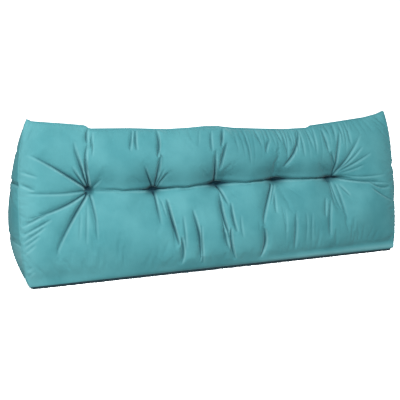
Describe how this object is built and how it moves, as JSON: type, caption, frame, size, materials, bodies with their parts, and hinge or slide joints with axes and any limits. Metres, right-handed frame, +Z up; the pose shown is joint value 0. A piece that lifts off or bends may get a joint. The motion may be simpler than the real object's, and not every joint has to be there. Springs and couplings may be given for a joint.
{
  "type": "headboard wedge cushion",
  "caption": "Filled triangular cushion that stands along the head of a bed, its sloping front drawn in by a row of stitched tufts.",
  "frame": {"origin": "middle of the bounding box on the plane the base stands on", "axes": "+X along the cushion, -Y out of the tufted front, +Z up"},
  "size_m": [1.4835, 0.2493, 0.543],
  "materials": {
    "velvet": "short-pile teal velvet, soft sheen"
  },
  "bodies": {
    "root": {"cushion": "velvet"}
  },
  "joints": []
}
